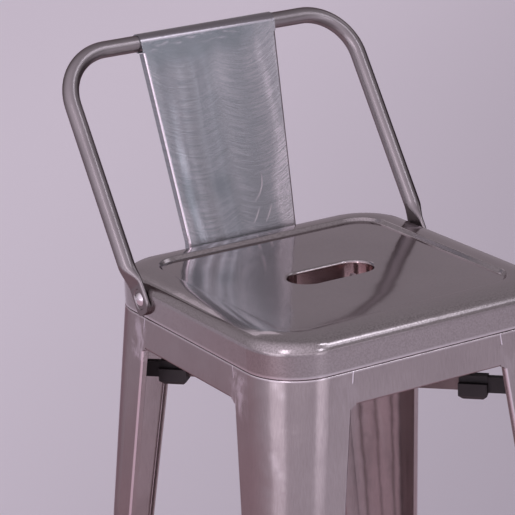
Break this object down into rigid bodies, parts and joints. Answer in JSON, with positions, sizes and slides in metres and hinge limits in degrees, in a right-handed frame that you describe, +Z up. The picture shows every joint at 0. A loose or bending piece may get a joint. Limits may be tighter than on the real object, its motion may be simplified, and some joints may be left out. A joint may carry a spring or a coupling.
{
  "type": "bar stool",
  "caption": "Square bar stool of folded sheet steel with splayed tapered legs, a pressed seat with a hand hole, footrest rails and a low back of bent tube and sheet.",
  "frame": {"origin": "on the floor, at the middle of the stool's overall width and depth", "axes": "+Z up, the front faces -Y, the back is at +Y, +X to the right seen from the front"},
  "size_m": [0.407, 0.4276, 0.9576],
  "materials": {
    "lacquered_steel": "raw cold-rolled steel, brushed in places, under clear lacquer",
    "plated_bolt": "bright zinc plating",
    "black_plastic": "moulded, matt"
  },
  "bodies": {
    "root": {"seat_pan": "lacquered_steel", "back_bow": "lacquered_steel", "back_splat": "lacquered_steel", "brace_left_bar": "lacquered_steel", "brace_right_bar": "lacquered_steel", "leg_front_left": "lacquered_steel", "leg_front_right": "lacquered_steel", "leg_rear_left": "lacquered_steel", "leg_rear_right": "lacquered_steel", "apron_front": "lacquered_steel", "apron_rear": "lacquered_steel", "apron_left": "lacquered_steel", "apron_right": "lacquered_steel", "footrest_front": "lacquered_steel", "footrest_rear": "lacquered_steel", "footrest_left": "lacquered_steel", "footrest_right": "lacquered_steel", "bow_bolts": "plated_bolt", "bow_nuts": "plated_bolt", "splat_bolts": "plated_bolt", "splat_nuts": "plated_bolt", "foot_front_left": "black_plastic", "foot_front_right": "black_plastic", "foot_rear_left": "black_plastic", "foot_rear_right": "black_plastic", "bumper_front_left": "black_plastic", "bumper_front_right": "black_plastic", "bumper_rear_left": "black_plastic", "bumper_rear_right": "black_plastic"}
  },
  "joints": []
}
